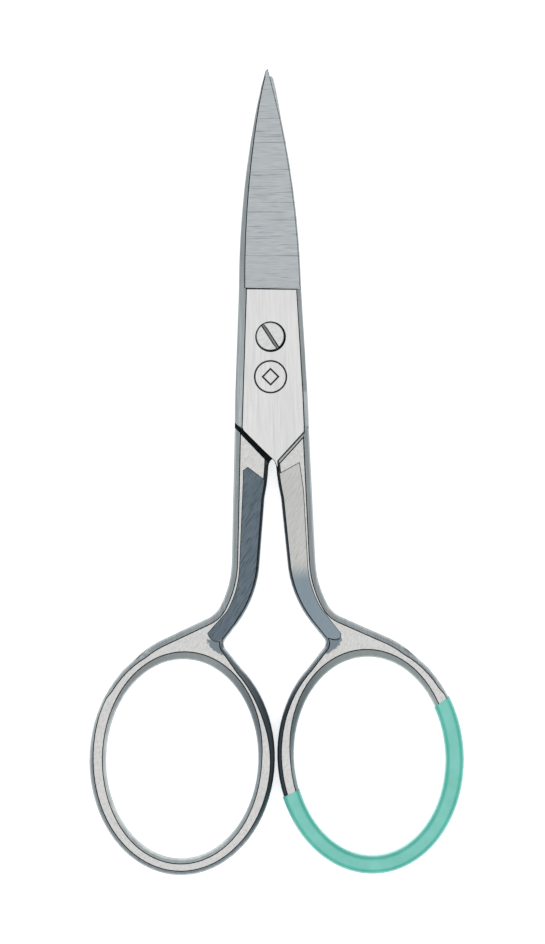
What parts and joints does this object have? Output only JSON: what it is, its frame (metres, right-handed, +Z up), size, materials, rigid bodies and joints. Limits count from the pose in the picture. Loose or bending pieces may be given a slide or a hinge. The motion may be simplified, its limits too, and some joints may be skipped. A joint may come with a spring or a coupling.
{
  "type": "ring-handled thread scissors",
  "caption": "Small ring-handled scissors with slim straight blades for snipping thread; one finger ring is colour-coated.",
  "frame": {"origin": "on the pivot axis, where it meets the back face of the joint plates (the end of the screw)", "axes": "+Y towards the blade tips, +Z up out of the face with the screw head, +X towards the coated finger ring"},
  "size_m": [0.0511, 0.11, 0.0037],
  "materials": {
    "forged_steel": "satin brushed stainless steel",
    "screw_steel": "turned stainless steel",
    "ring_coat": "smooth semi-gloss turquoise vinyl"
  },
  "bodies": {
    "rear": {"rear_half": "forged_steel", "pivot_screw": "screw_steel"},
    "front": {"front_half": "forged_steel", "ring_sleeve": "ring_coat"}
  },
  "joints": [
    {"name": "pivot_hinge", "type": "hinge", "parent": "rear", "child": "front", "pos_m": [0, 0, 0.00145], "axis": [0, 0, 1], "range_deg": [0, 90]}
  ]
}
